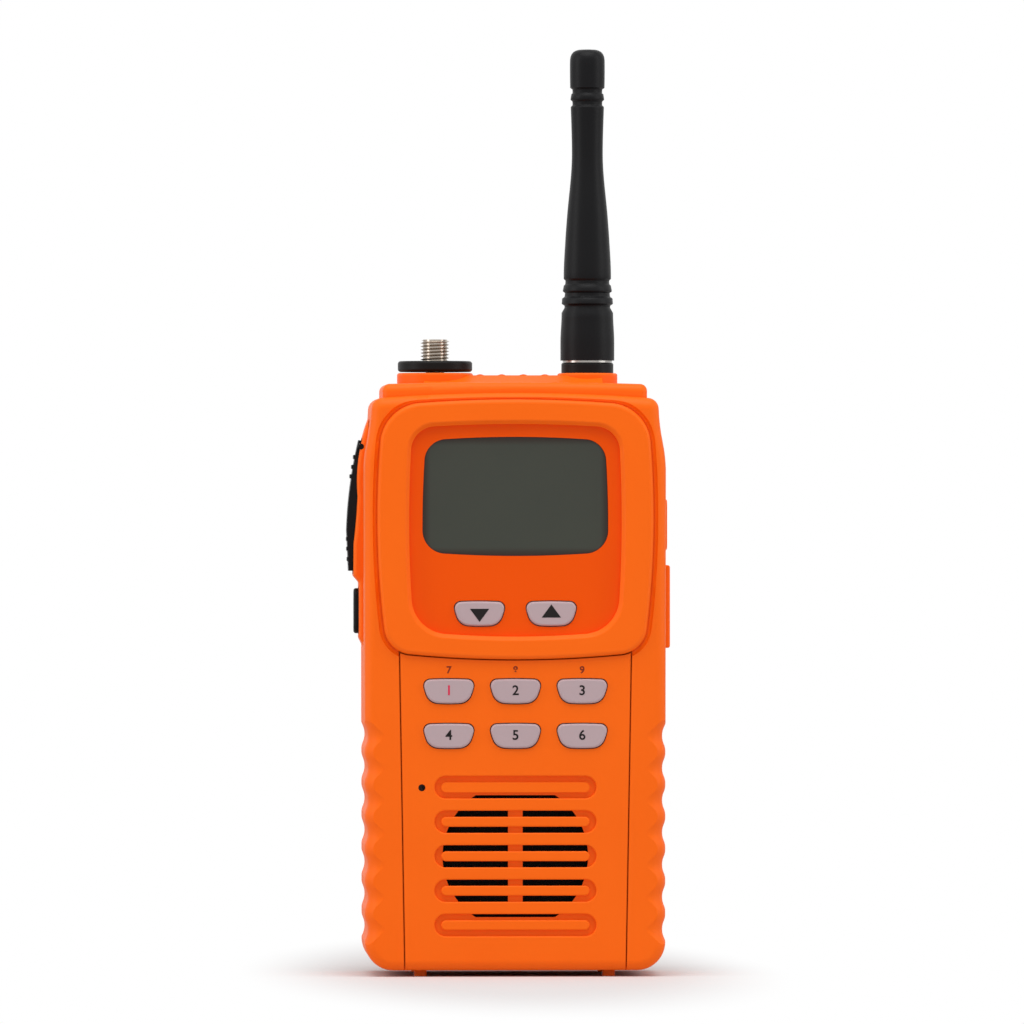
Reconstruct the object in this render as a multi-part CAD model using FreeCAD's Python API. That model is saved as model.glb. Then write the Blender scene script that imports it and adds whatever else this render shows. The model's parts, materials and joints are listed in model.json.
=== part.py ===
import FreeCAD, Part
import math
import os

# Handheld marine radio, standing upright on its feet.
# Frame: +X to the right of a person facing the display, +Y from the display to the back, +Z up.
# Origin: the middle of the bounding box's bottom face. All sizes are in millimetres.
# An outline is given in the XZ plane, as the radio is seen from the front, and runs through to a depth in Y.

V = FreeCAD.Vector

# Overall case
half_low = 31.8
half_wide = 31.95
half_neck = 31.3
half_top = 30.4
case_floor_z = 1.3
widest_z = 106.0
neck_z = 113.0
shoulder_z = 122.3
top_bulge = 1.2
hip_bulge = 0.2
neck_bulge = -0.25
foot_corner_r = 6.0
head_corner_r = 2.4
edge_r = 2.2
front_y = -20.3
parting_y = -8.5
bay_y = 4.0
back_y = 14.0
bay_top_z = 95.0
wall = 2.2
front_wall = 3.0
bay_wall = 1.6
cavity_floor_z = 3.5
cavity_top_z = 119.5
attic_floor_z = 97.5
attic_back_y = 12.2
fit_gap = 0.2
seam_gap = 0.3

# Head: a rounded bar behind the front frame, and a sloped deck on it
bar_half = 28.05
bar_top_z = 125.4
bar_bulge = 0.45
bar_front_y = -17.6
bar_back_y = 12.6
bar_r = 1.6
bar_end_r = 1.5
deck_z = 127.4
deck_front_y = -8.2
deck_back_y = 9.6
deck_left_x = -19.0
deck_right_x = 19.0
deck_slope = 1.7
ripple_count = 4
ripple_pitch = 4.6
ripple_r = 1.6
ripple_height = 0.22
top_parts_y = 0.6

# Finger grips: a soft wave of shallow hollows that runs round both sides
grip_count = 7
grip_top_z = 50.9
grip_pitch = 6.82
grip_hollow_x = 31.2
grip_crest_x = 31.9
grip_turn_r = 3.4
grip_skim = 0.05

# Display surround, display panel and window
surround_y = -21.5
surround_back_y = -19.6
surround_edge_r = 0.9
surround_slope = 0.8
valley_r = 0.8
valley_depth = 0.5
surround_line_gap = 0.28
panel_y = -19.6
panel_back_y = -18.4
panel_margin = 1.0
window_y = -19.25
window_step_y = -18.35
window_back_y = -17.45
window_flange = 1.7

# Lower panel with the six keys and the speaker grille
lower_half_top = 24.45
lower_half_foot = 23.25
lower_back_y = -18.7
key_column = 14.1
key_row_z = (60.5, 51.05)
arrow_x = 7.6
arrow_z = 76.9
key_proud = 0.6
arrow_proud = 0.5
key_gap = 0.2
key_flange = 0.8
key_shaft_room = 1.2
key_travel = 0.45
key_back_y = -17.72
key_edge_r = 0.45

# Speaker grille: five recessed rings round long bars, over a round opening with one rib
grille_z = 25.5
grille_pitch = 7.29
grille_rows = 5
slot_length = 34.2
slot_height = 4.7
bar_length = 31.4
bar_height = 2.1
slot_depth = 1.0
slot_edge_r = 0.3
mouth_r = 15.4
mouth_rib = 3.1
mouth_half_height = 12.9
rib_half_height = 11.5
mouth_y = -19.4
mic_x = -19.8
mic_z = 40.0
mic_hole_r = 0.75

# Volume dial on the left of the head, aerial on the right
dial_x = -16.4
boss_top_z = 127.9
dial_boss_r = 8.1
dial_r = 7.93
dial_thick = 2.3
dial_gap = 0.25
dial_edge_r = 0.6
stud_crest_r = 3.1
stud_root_r = 2.5
stud_pitch = 0.907
stud_height = 4.6
spindle_r = 2.0
spindle_foot_z = 110.0
control_top_z = 116.0
aerial_x = 16.1
aerial_boss_r = 6.4
collar_r = 5.55
collar_height = 2.2
jack_r = 4.3
jack_bore_r = 3.15
stud_r = 3.1
flange_r = 5.3
whip_post_r = 2.4
whip_foot_z = 130.6
whip_top_z = 196.9

# Left side: talk lever and side button in a raised housing
housing_front_y = -8.1
housing_back_y = 3.6
housing_edge_r = 0.8
lever_mid_y = -2.3
lever_half_y = 4.4
lever_gap = 0.25
lever_top_z = 113.6
lever_foot_z = 85.8
lever_pin_z = 112.2
lever_pin_x = -32.35
lever_pin_r = 0.6
nub_z = 98.5
nub_r = 1.3
nub_hole_r = 1.9
side_button_z = 77.3
side_button_height = 9.6
side_button_depth = 5.6
side_button_x = -33.85
button_flange_x = 28.9
switch_face_x = 28.1

# Right side: function button above a hinged cover over two sockets
function_z = 95.6
function_height = 11.0
function_depth = 5.6
function_x = 32.9
cover_x = 33.35
cover_z = 78.2
cover_height = 17.6
cover_front_y = -7.8
cover_recess_x = 31.1
hinge_x = 32.0
hinge_y = 2.3
hinge_r = 1.1
hinge_pin_r = 0.5
hinge_gap = 0.2
running_gap = 0.05
socket_y = -3.2
socket_back_x = 19.5
socket_face_x = 30.9
large_socket_z = 74.2
large_socket_r = 1.8
large_barrel_r = 3.0
small_socket_z = 82.3
small_socket_r = 1.3
small_barrel_r = 2.4

# Screws, inserts and thumb screws
case_screw_x = 25.1
case_screw_z = (17.5, 88.2)
case_screw_r = 1.0
screw_head_r = 1.9
boss_r = 2.5
thumb_x = 20.5
thumb_z = 9.4
thumb_r = 4.2
thumb_shank_r = 1.5
insert_r = 2.6

# Battery pack
pack_gap = 0.15
pack_front_y = bay_y + pack_gap
pack_wall = 1.6
pack_corner_r = 3.9
lid_back_y = 5.6
cell_size = (25.0, 6.2, 64.0)
contact_x = (-7.0, 0.0, 7.0)
contact_z = 88.0

# Belt clip
clip_half = 9.0
clip_foot_half = 7.8
clip_pin_z = 84.0
clip_pin_y = 17.4
clip_inner_y = 19.6
clip_thick = 1.7
clip_foot_z = 32.0
clip_head_z = 93.5
spring_r = 1.3
spring_wire_r = 0.25
spring_turns = 4
spring_leg = 1.95

# Feet
foot_x = 19.95
foot_width = 2.65
foot_depth = 5.0
front_foot_y = -13.0
rear_foot_y = 9.0


# Outlines and prisms

def outline_edge(start, end, bulge, middle):
    """A line from start to end, or an arc that stands out from the middle by the bulge."""
    if abs(bulge) < 1e-6:
        return Part.LineSegment(start, end).toShape()
    chord = end - start
    normal = V(-chord.z, 0, chord.x)
    normal.normalize()
    halfway = (start + end) * 0.5
    if normal.dot(halfway - middle) < 0:
        normal = -normal
    return Part.Arc(start, halfway + normal * bulge, end).toShape()


def prism(corners, y_front, y_back, bulges=None, radii=None):
    """A solid of this outline between two depths, with its corners rounded."""
    points = [V(x, y_front, z) for x, z in corners]
    count = len(points)
    bulges = bulges or [0.0] * count
    middle = V(0, 0, 0)
    for point in points:
        middle = middle + point * (1.0 / count)
    edges = []
    for i in range(count):
        edges.append(outline_edge(points[i], points[(i + 1) % count], bulges[i], middle))
    solid = Part.Face(Part.Wire(edges)).extrude(V(0, y_back - y_front, 0))
    for point, radius in zip(points, radii or []):
        if radius > 0:
            upright = [e for e in solid.Edges if is_upright(e, point)]
            solid = solid.makeFillet(radius, upright)
    return solid


def is_upright(edge, point):
    """True for the edge that runs in depth through this corner."""
    ends = [v.Point for v in edge.Vertexes]
    return len(ends) == 2 and all(math.hypot(p.x - point.x, p.z - point.z) < 1e-4 for p in ends)


def edges_at(solid, axis, value, within=None):
    """The edges that lie in one plane across an axis, all of them or those that pass a test."""
    found = []
    for edge in solid.Edges:
        box = edge.BoundBox
        low, high = {"x": (box.XMin, box.XMax), "y": (box.YMin, box.YMax), "z": (box.ZMin, box.ZMax)}[axis]
        if abs(low - value) < 1e-3 and abs(high - value) < 1e-3 and (within is None or within(edge)):
            found.append(edge)
    return found


def rounded(solid, radius, axis, value, within=None):
    """The solid with the edges in one plane filleted."""
    return solid.makeFillet(radius, edges_at(solid, axis, value, within))


def block(x0, x1, y0, y1, z0, z1):
    """A box between two corners."""
    return Part.makeBox(x1 - x0, y1 - y0, z1 - z0, V(x0, y0, z0))


def rounded_block(x0, x1, y0, y1, z0, z1, radius, axis):
    """A box whose four edges along one axis are rounded."""
    solid = block(x0, x1, y0, y1, z0, z1)
    along = []
    for edge in solid.Edges:
        direction = edge.tangentAt(edge.FirstParameter)
        if abs(getattr(direction, axis)) > 0.99:
            along.append(edge)
    return solid.makeFillet(radius, along)


def rod(radius, start, end):
    """A cylinder from one point to another."""
    along = end - start
    return Part.makeCylinder(radius, along.Length, start, along)


def tube(radius, bore, start, end):
    """A cylinder with a bore right through it."""
    return rod(radius, start, end).cut(rod(bore, start, end))


def turned(profile, x, y):
    """A solid of revolution about a vertical axis, from (radius, z) points."""
    points = [V(x + r, y, z) for r, z in profile]
    wire = Part.makePolygon(points + [points[0]])
    return Part.Face(wire).revolve(V(x, y, 0), V(0, 0, 1), 360)


def mirrored(shape):
    """The shape on the other side of the radio's middle plane."""
    return shape.mirror(V(0, 0, 0), V(1, 0, 0))


def both_sides(shape):
    """The shape and its mirror image, as two solids."""
    return Part.makeCompound([shape, mirrored(shape)])


def grown(corners, amount):
    """An outline's corners moved outwards from its middle, by the same amount in X and in Z."""
    cx = sum(x for x, _ in corners) / len(corners)
    cz = sum(z for _, z in corners) / len(corners)
    return [
        (x + math.copysign(1.0, x - cx) * amount, z + math.copysign(1.0, z - cz) * amount)
        for x, z in corners
    ]


def grown_radii(radii, amount):
    """Corner radii that keep an even border when the outline grows."""
    return [max(r + amount, 0.2) for r in radii]


# Shapes that several pieces share

CASE_BULGES = [0, 0, hip_bulge, neck_bulge, top_bulge, neck_bulge, hip_bulge, 0]
CAVITY_BULGES = [0, 0, hip_bulge, neck_bulge, 0, neck_bulge, hip_bulge, 0]


def case_radii(foot_r, head_r):
    """Corner radii of the case outline: only the foot and the head have round corners."""
    return [foot_r, foot_r, 0, 0, head_r, head_r, 0, 0]


def case_corners(inset=0.0):
    """The case from the front: nearly straight sides that sweep in to a neck under the head."""
    right = [
        (half_low - inset, case_floor_z + inset), (half_wide - inset, widest_z),
        (half_neck - inset, neck_z), (half_top - inset, shoulder_z - inset),
    ]
    left = [(-x, z) for x, z in reversed(right)]
    return left[-1:] + right + left[:-1]


def grip_face():
    """The region outside the right side's grip wave, on the plane where the front turn starts."""
    plane_y = front_y + grip_turn_r + grip_skim
    quarter = grip_pitch / 4.0
    mid_x = (grip_hollow_x + grip_crest_x) / 2.0
    outside_x = half_wide + 2.0
    lead = (outside_x - mid_x) / math.tan(2.0 * math.atan((mid_x - grip_hollow_x) / quarter))
    top_z = grip_top_z + quarter
    foot_z = grip_top_z - (grip_count - 1) * grip_pitch - quarter
    start = V(outside_x, plane_y, top_z + lead)
    edges = [Part.LineSegment(start, V(mid_x, plane_y, top_z)).toShape()]
    for i in range(2 * grip_count - 1):
        z = top_z - 2.0 * i * quarter
        reach_x = grip_crest_x if i % 2 else grip_hollow_x
        arc = Part.Arc(V(mid_x, plane_y, z), V(reach_x, plane_y, z - quarter), V(mid_x, plane_y, z - 2.0 * quarter))
        edges.append(arc.toShape())
    end = V(outside_x, plane_y, foot_z - lead)
    edges.append(Part.LineSegment(V(mid_x, plane_y, foot_z), end).toShape())
    edges.append(Part.LineSegment(end, start).toShape())
    return Part.Face(Part.Wire(edges))


def grip_tools():
    """The cutters of the right side's grip wave: along the side, and round its two corners."""
    face = grip_face()
    front_turn_y = front_y + grip_turn_r + grip_skim
    back_turn_y = back_y - grip_turn_r - grip_skim
    run = V(0, back_turn_y - front_turn_y, 0)
    turn_x = grip_hollow_x - grip_turn_r
    back_face = face.translated(run)
    return [
        face.extrude(run),
        face.revolve(V(turn_x, front_turn_y, 0), V(0, 0, 1), -90),
        back_face.revolve(V(turn_x, back_turn_y, 0), V(0, 0, 1), 90),
    ]


def head_bar():
    """The rounded bar behind the front frame's top edge."""
    corners = [(-bar_half, 112.0), (bar_half, 112.0), (bar_half, bar_top_z), (-bar_half, bar_top_z)]
    bar = prism(corners, bar_front_y, bar_back_y, [0, 0, bar_bulge, 0], [0, 0, bar_end_r, bar_end_r])
    above = lambda edge: edge.BoundBox.ZMax > 112.1
    bar = rounded(bar, bar_r, "y", bar_front_y, above)
    return rounded(bar, bar_r, "y", bar_back_y, above)


def head_deck():
    """The sloped deck between the two round bosses, with soft ripples on it, and the bosses."""
    low_z = 121.0
    profile = [
        V(deck_left_x, deck_front_y, low_z), V(deck_left_x, deck_back_y, low_z),
        V(deck_left_x, deck_back_y, deck_z - 0.6), V(deck_left_x, deck_back_y - 1.2, deck_z),
        V(deck_left_x, deck_front_y + 4.4, deck_z), V(deck_left_x, deck_front_y, deck_z - deck_slope),
    ]
    deck = Part.Face(Part.makePolygon(profile + [profile[0]])).extrude(V(deck_right_x - deck_left_x, 0, 0))
    for i in range(ripple_count):
        x = (i - (ripple_count - 1) / 2.0) * ripple_pitch
        z = deck_z + ripple_height - ripple_r
        deck = deck.fuse(rod(ripple_r, V(x, deck_front_y + 5.0, z), V(x, deck_back_y - 1.4, z)))
    for x, radius in ((dial_x, dial_boss_r), (aerial_x, aerial_boss_r)):
        boss = rod(radius, V(x, top_parts_y, low_z), V(x, top_parts_y, boss_top_z))
        deck = deck.fuse(rounded(boss, 0.5, "z", boss_top_z))
    return deck


def outer_form():
    """The outside of case and battery pack together, before they are parted."""
    form = prism(case_corners(), front_y, back_y, CASE_BULGES, case_radii(foot_corner_r, head_corner_r))
    form = rounded(form, edge_r, "y", front_y)
    form = rounded(form, edge_r, "y", back_y)
    tools = grip_tools()
    return form.cut(tools + [mirrored(tool) for tool in tools])


def cavity():
    """The room inside the two case halves."""
    corners = case_corners(wall)
    radii = case_radii(foot_corner_r - wall, 1.5)
    room = prism(corners, front_y + front_wall, bay_y - bay_wall, CAVITY_BULGES, radii)
    room = rounded(room, 1.4, "y", front_y + front_wall)
    room = room.common(block(-40, 40, -40, 40, cavity_floor_z, cavity_top_z))
    attic = block(-half_top + wall, half_top - wall, -10, attic_back_y, attic_floor_z, cavity_top_z)
    return room.fuse(attic)


def key_corners(x, z, grow=0.0):
    """A key from the front: a wide top, sides that lean in, and a narrower foot."""
    return [
        (x - 4.1 - grow, z - 2.65 - grow), (x + 4.1 + grow, z - 2.65 - grow),
        (x + 5.65 + grow, z + 2.5 + grow), (x - 5.65 - grow, z + 2.5 + grow),
    ]


def key_form(x, z, y_front, y_back, grow=0.0):
    """A key's outline as a solid."""
    radii = grown_radii([2.9, 2.9, 1.5, 1.5], grow * 0.6)
    return prism(key_corners(x, z, grow), y_front, y_back, [0.25, 0.3, 0.2, 0.3], radii)


def key_places():
    """Each key's name, middle, and the face that it stands out of."""
    places = [("key_down", -arrow_x, arrow_z, panel_y), ("key_up", arrow_x, arrow_z, panel_y)]
    number = 1
    for z in key_row_z:
        for column in (-1, 0, 1):
            places.append(("key_%d" % number, column * key_column, z, front_y))
            number += 1
    return places


SURROUND_OUT = [(-27.1, 68.75), (27.1, 68.75), (27.8, 120.65), (-27.8, 120.65)]
SURROUND_OUT_BULGES = [1.6, 1.75, 1.45, 1.75]
SURROUND_OUT_RADII = [6.0, 6.0, 9.0, 9.0]
SURROUND_IN = [(-22.3, 72.35), (22.3, 72.35), (22.6, 116.9), (-22.6, 116.9)]
SURROUND_IN_BULGES = [1.2, 0.85, 0.8, 0.85]
SURROUND_IN_RADII = [8.5, 8.5, 6.0, 6.0]
WINDOW = [(-19.6, 89.85), (19.6, 89.85), (18.95, 113.4), (-18.95, 113.4)]
WINDOW_BULGES = [0.85, 0.3, 0.8, 0.3]
WINDOW_RADII = [4.9, 4.9, 4.7, 4.7]


def surround_form(grow, y_front, y_back):
    """The display surround's outer outline."""
    radii = grown_radii(SURROUND_OUT_RADII, grow)
    return prism(grown(SURROUND_OUT, grow), y_front, y_back, SURROUND_OUT_BULGES, radii)


def surround_valley():
    """A soft round-bottomed groove that follows the surround's outline on the case front."""
    y = front_y + valley_depth - valley_r
    guide = surround_form(surround_line_gap, y, y + 1)
    path = Part.Wire(Part.__sortEdges__(edges_at(guide, "y", y)))
    first = path.Edges[0]
    start = first.valueAt(first.FirstParameter)
    along = first.tangentAt(first.FirstParameter)
    section = Part.Wire(Part.Circle(start, along, valley_r).toShape())
    return path.makePipeShell([section], True, False)


def display_form(grow, y_front, y_back):
    """The outline of the display surround's inner edge, on its front face."""
    radii = grown_radii(SURROUND_IN_RADII, grow)
    return prism(grown(SURROUND_IN, grow), y_front, y_back, SURROUND_IN_BULGES, radii)


def window_form(grow, y_front, y_back):
    """The display window's outline."""
    radii = grown_radii(WINDOW_RADII, grow)
    return prism(grown(WINDOW, grow), y_front, y_back, WINDOW_BULGES, radii)


def lower_corners(grow=0.0):
    """The lower panel from the front, up to where the display surround covers its top."""
    return [
        (-lower_half_foot - grow, case_floor_z - 1), (lower_half_foot + grow, case_floor_z - 1),
        (lower_half_top + grow, 72.0), (-lower_half_top - grow, 72.0),
    ]


def stadium(length, height, z, y_front, y_back):
    """A long bar with round ends, centred on the middle plane."""
    half = length / 2.0 - height / 2.0
    body = block(-half, half, y_front, y_back, z - height / 2.0, z + height / 2.0)
    for x in (-half, half):
        body = body.fuse(rod(height / 2.0, V(x, y_front, z), V(x, y_back, z)))
    return body.removeSplitter()


# Front of the case

def make_front_case(form):
    """The front shell, with its pockets for the surround, the display panel and the lower panel."""
    shell = form.common(block(-40, 40, -40, parting_y, -5, 140))
    bar = head_bar().common(block(-40, 40, -40, parting_y, -5, 140))
    shell = shell.fuse(bar).cut(cavity())
    shell = shell.fuse(front_bosses())
    tools = [
        surround_valley(),
        surround_form(surround_line_gap, front_y - 3, surround_back_y),
        display_form(panel_margin - surround_slope + fit_gap, front_y, panel_back_y),
        prism(lower_corners(seam_gap), front_y - 3, lower_back_y),
        window_form(window_flange + fit_gap + 0.1, front_y, -10),
        rod(mouth_r + 0.8, V(0, front_y, grille_z), V(0, -10, grille_z)),
        rod(mic_hole_r + 0.4, V(mic_x, front_y, mic_z), V(mic_x, -10, mic_z)),
    ]
    for _, x, z, _ in key_places():
        tools.append(key_form(x, z, front_y, -10, key_shaft_room))
    for x in (-case_screw_x, case_screw_x):
        for z in case_screw_z:
            tools.append(rod(case_screw_r, V(x, -15.0, z), V(x, 0, z)))
    shell = shell.cut(tools)
    for x in (-foot_x, foot_x):
        shell = shell.fuse(foot(x, front_foot_y))
    return shell


def front_bosses():
    """Posts behind the front wall that take the case screws."""
    posts = []
    for x in (-case_screw_x, case_screw_x):
        for z in case_screw_z:
            posts.append(rod(boss_r, V(x, front_y + front_wall - 0.5, z), V(x, parting_y, z)))
    return posts


def foot(x, y):
    """A small foot under the case or the battery pack."""
    half_w = foot_width / 2.0
    half_d = foot_depth / 2.0
    pad = rounded_block(x - half_w, x + half_w, y - half_d, y + half_d, 0, case_floor_z + 0.7, 0.7, "z")
    return pad


def make_display_surround():
    """The raised frame round the display, with a slope down to the display panel."""
    ring = surround_form(0, surround_y, surround_back_y)
    ring = rounded(ring, surround_edge_r, "y", surround_y)
    floor_cut = display_form(-surround_slope, surround_y - 1, surround_back_y + 1)
    ring = ring.cut(floor_cut)
    inner = lambda edge: edge.BoundBox.DiagonalLength < 60 and is_inside_edge(edge)
    ring = ring.makeChamfer(surround_slope, edges_at(ring, "y", surround_y, inner))
    return ring.makeFillet(0.5, edges_at(ring, "y", surround_y, is_inside_edge))


def is_inside_edge(edge):
    """True for an edge of the surround's inner opening."""
    middle = edge.valueAt((edge.FirstParameter + edge.LastParameter) / 2.0)
    return abs(middle.x) < 24.2 and 70.0 < middle.z < 118.4


def make_display_panel():
    """The recessed plate that carries the window and the two arrow keys."""
    plate = display_form(panel_margin - surround_slope, panel_y, panel_back_y)
    window = window_form(0, panel_y - 1, panel_back_y + 1)
    plate = plate.cut([window, key_form(-arrow_x, arrow_z, panel_y - 1, panel_back_y + 1)])
    plate = plate.cut(key_form(arrow_x, arrow_z, panel_y - 1, panel_back_y + 1))
    return plate


def make_display_window():
    """The clear window: a step in the panel's opening, and a flange behind it."""
    lens = window_form(-0.1, window_y, window_step_y)
    flange = window_form(window_flange, window_step_y, window_back_y)
    return lens.fuse(flange).removeSplitter()


def make_lcd_module():
    """The liquid crystal display in its frame, behind the window."""
    frame = rounded_block(-22, 22, -17.2, -13.6, 87.0, 116.4, 0.8, "y")
    glass_room = block(-19.9, 19.9, -17.3, -16.6, 89.2, 114.2)
    flex = block(-8, 8, -14.6, -13.9, 83.4, 87.0)
    return frame.cut(glass_room).fuse(flex)


def make_lower_panel(form):
    """The lower front panel: six key openings, the grille and the microphone hole."""
    plate = form.common(prism(lower_corners(), front_y - 1, lower_back_y))
    plate = plate.cut(surround_form(surround_line_gap, front_y - 3, 0))
    slots = []
    tools = [rod(mic_hole_r, V(mic_x, front_y - 1, mic_z), V(mic_x, 0, mic_z))]
    for name, x, z, _ in key_places():
        if name not in ("key_down", "key_up"):
            tools.append(key_form(x, z, front_y - 1, 0))
    for i in range(grille_rows):
        z = grille_z + (i - (grille_rows - 1) / 2.0) * grille_pitch
        ring = stadium(slot_length, slot_height, z, front_y - 1, front_y + slot_depth)
        slots.append(ring.cut(stadium(bar_length, bar_height, z, front_y - 2, 0)))
    on_a_slot = lambda edge: abs(edge.CenterOfMass.x) < slot_length / 2.0 and edge.BoundBox.ZMax < mic_z - 1
    plate = rounded(plate.cut(slots), slot_edge_r, "y", front_y, on_a_slot)
    mouth = rod(mouth_r, V(0, mouth_y, grille_z), V(0, 0, grille_z))
    mouth = mouth.common(block(-20, 20, -30, 1, grille_z - mouth_half_height, grille_z + mouth_half_height))
    rib = block(-mouth_rib / 2, mouth_rib / 2, mouth_y - 1, 1, grille_z - rib_half_height, grille_z + rib_half_height)
    tools.append(mouth.cut(rib))
    return plate.cut(tools)


def make_key(x, z, face_y, proud):
    """A key: a rounded cap, a flange behind the panel, and a short stem."""
    back = lower_back_y if face_y == front_y else panel_back_y
    cap = key_form(x, z, face_y - proud, back + 0.4, -key_gap)
    cap = rounded(cap, key_edge_r, "y", face_y - proud)
    flange = key_form(x, z, back + 0.15, back + 0.65, key_flange)
    stem = rod(2.2, V(x, back + 0.5, z), V(x, key_back_y, z))
    return cap.fuse([flange, stem])


# Inside the case

def make_keypad_mat():
    """The silicone sheet behind the keys, with a nub over each switch."""
    sheet = rounded_block(-22, 22, -17.2, -16.6, 45.6, 82.2, 1.5, "y")
    nubs = [rod(1.0, V(x, -16.7, z), V(x, -16.3, z)) for _, x, z, _ in key_places()]
    return sheet.fuse(nubs)


def make_keypad_board():
    """The circuit board that carries the key switches."""
    return rounded_block(-22, 22, -15.9, -14.9, 45.6, 82.2, 1.5, "y")


def make_key_domes():
    """A metal snap dome under each key."""
    domes = [rod(2.4, V(x, -16.15, z), V(x, -15.9, z)) for _, x, z, _ in key_places()]
    return Part.makeCompound(domes)


def make_main_board():
    """The main circuit board, with a notch for the sockets on the right."""
    board = rounded_block(-21.8, 21.8, -9.7, -8.3, 6.0, 116.5, 1.5, "y")
    return board.cut(rod(2.2, V(0, -12, 68.8), V(0, -5, 68.8)))


def make_rf_shield():
    """The screening can over the transmitter, open towards the board."""
    can = rounded_block(-19, 15, -8.3, -3.9, 24, 62, 1.2, "y")
    return can.cut(block(-18.6, 14.6, -8.4, -4.3, 24.4, 61.6))


def make_speaker():
    """The speaker's basket, cone and magnet, and the cloth in front of it."""
    z = grille_z
    basket = tube(18.0, 15.6, V(0, -16.9, z), V(0, -14.4, z))
    basket = basket.fuse(tube(18.0, 8.6, V(0, -14.4, z), V(0, -13.6, z)))
    magnet = rod(8.5, V(0, -14.0, z), V(0, -10.4, z))
    outer = Part.makeCone(15.4, 6.0, 2.0, V(0, -16.6, z), V(0, 1, 0))
    inner = Part.makeCone(15.0, 5.6, 2.0, V(0, -17.0, z), V(0, 1, 0))
    cone = outer.cut(inner).cut(rod(17, V(0, -18, z), V(0, -16.6, z)))
    cap = rod(5.9, V(0, -14.95, z), V(0, -14.6, z))
    cloth = tube(17.6, 0.4, V(0, -17.25, z), V(0, -16.95, z))
    return basket, cone.fuse(cap), magnet, cloth


def make_microphone():
    """The microphone capsule behind its hole."""
    capsule = rod(3.0, V(mic_x, -17.2, mic_z), V(mic_x, -13.2, mic_z))
    return capsule.cut(rod(0.8, V(mic_x, -17.3, mic_z), V(mic_x, -15.6, mic_z)))


# Back of the case

def make_rear_case(form):
    """The rear shell: the battery bay below, the full depth above, and the left housing."""
    low = block(-40, 40, parting_y, bay_y, -5, 140)
    high = block(-40, 40, parting_y, 30, bay_top_z + pack_gap, 140)
    room = low.fuse(high)
    shell = form.common(room)
    shell = shell.fuse([head_bar().common(room), head_deck()])
    shell = shell.fuse(left_housing()).cut(cavity())
    shell = shell.fuse(rear_bosses())
    shell = shell.cut(rear_openings())
    return shell.fuse(hinge_knuckles())


def left_housing():
    """The raised housing on the left side, round the talk lever and the side button."""
    corners = [
        (-30.8, 69.4), (-30.8, 118.0), (-33.1, 101.5), (-33.95, 91.5),
        (-34.0, 84.8), (-32.8, 83.4), (-32.8, 71.6), (-31.8, 69.6),
    ]
    bulges = [0, 0.95, -0.1, 0, 0, 0, 0, 0]
    radii = [0, 0, 0, 0, 0.9, 0.6, 1.2, 0.8]
    body = prism(corners, housing_front_y, housing_back_y, bulges, radii)
    outer = lambda edge: edge.BoundBox.XMin < -31.0 or edge.BoundBox.ZLength < 5
    for y in (housing_front_y, housing_back_y):
        body = rounded(body, housing_edge_r, "y", y, outer)
    return body


def rear_bosses():
    """Posts for the case screws and for the thumb screws' inserts."""
    posts = []
    for x in (-case_screw_x, case_screw_x):
        for z in case_screw_z:
            posts.append(rod(boss_r + 0.3, V(x, parting_y, z), V(x, bay_y - bay_wall + 0.3, z)))
    for x in (-thumb_x, thumb_x):
        posts.append(rod(insert_r + 1.2, V(x, -2.4, thumb_z), V(x, bay_y - bay_wall + 0.3, thumb_z)))
    return posts


def lever_room():
    """The pocket that the talk lever moves in."""
    reach = lever_half_y + lever_gap
    return rounded_block(-40, -31.45, lever_mid_y - reach, lever_mid_y + reach,
                         lever_foot_z - 0.7, lever_top_z + 0.4, 1.0, "x")


def rear_openings():
    """Everything cut from the rear shell."""
    tools = [lever_room()]
    tools.append(rod(nub_hole_r, V(-33, lever_mid_y, nub_z), V(-29, lever_mid_y, nub_z)))
    pin_reach = lever_half_y + 1.4
    tools.append(rod(lever_pin_r + 0.02, V(lever_pin_x, lever_mid_y - pin_reach, lever_pin_z),
                     V(lever_pin_x, lever_mid_y + pin_reach, lever_pin_z)))
    tools.append(button_form(-36, -29, side_button_z, side_button_height, side_button_depth, fit_gap))
    tools.append(button_form(29, 36, function_z, function_height, function_depth, fit_gap))
    tools += cover_recess()
    tools += [
        rod(3.6, V(dial_x, top_parts_y, 118), V(dial_x, top_parts_y, 124.0)),
        rod(spindle_r + 0.25, V(dial_x, top_parts_y, 120), V(dial_x, top_parts_y, 130)),
        rod(3.6, V(dial_x, top_parts_y, 126.2), V(dial_x, top_parts_y, 130)),
        rod(jack_r + 0.02, V(aerial_x, top_parts_y, 118), V(aerial_x, top_parts_y, 130)),
    ]
    for x in (-case_screw_x, case_screw_x):
        for z in case_screw_z:
            tools.append(rod(case_screw_r + 0.15, V(x, -12, z), V(x, bay_y, z)))
            tools.append(rod(screw_head_r + 0.15, V(x, bay_y - 1.5, z), V(x, bay_y + 1, z)))
    for x in (-thumb_x, thumb_x):
        tools.append(rod(insert_r, V(x, -1.4, thumb_z), V(x, bay_y + 1, thumb_z)))
        tools.append(rod(thumb_shank_r + 0.3, V(x, -2.0, thumb_z), V(x, bay_y + 1, thumb_z)))
    for x in contact_x:
        tools.append(rod(0.8, V(x, 0, contact_z), V(x, bay_y + 1, contact_z)))
    tools.append(seal_ring(0, 0.05))
    tools.append(contact_ring(0.02))
    return tools


def seal_ring(grow, slack):
    """A ring in the rear half's rim, at the parting plane."""
    outside = prism(case_corners(1.0 - slack), parting_y - slack, parting_y + 0.9, CAVITY_BULGES, case_radii(5.0, 1.4))
    inside = prism(case_corners(1.6 + slack), parting_y - 1, parting_y + 1.5, CAVITY_BULGES, case_radii(4.4, 0.8))
    return outside.cut(inside)


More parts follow.
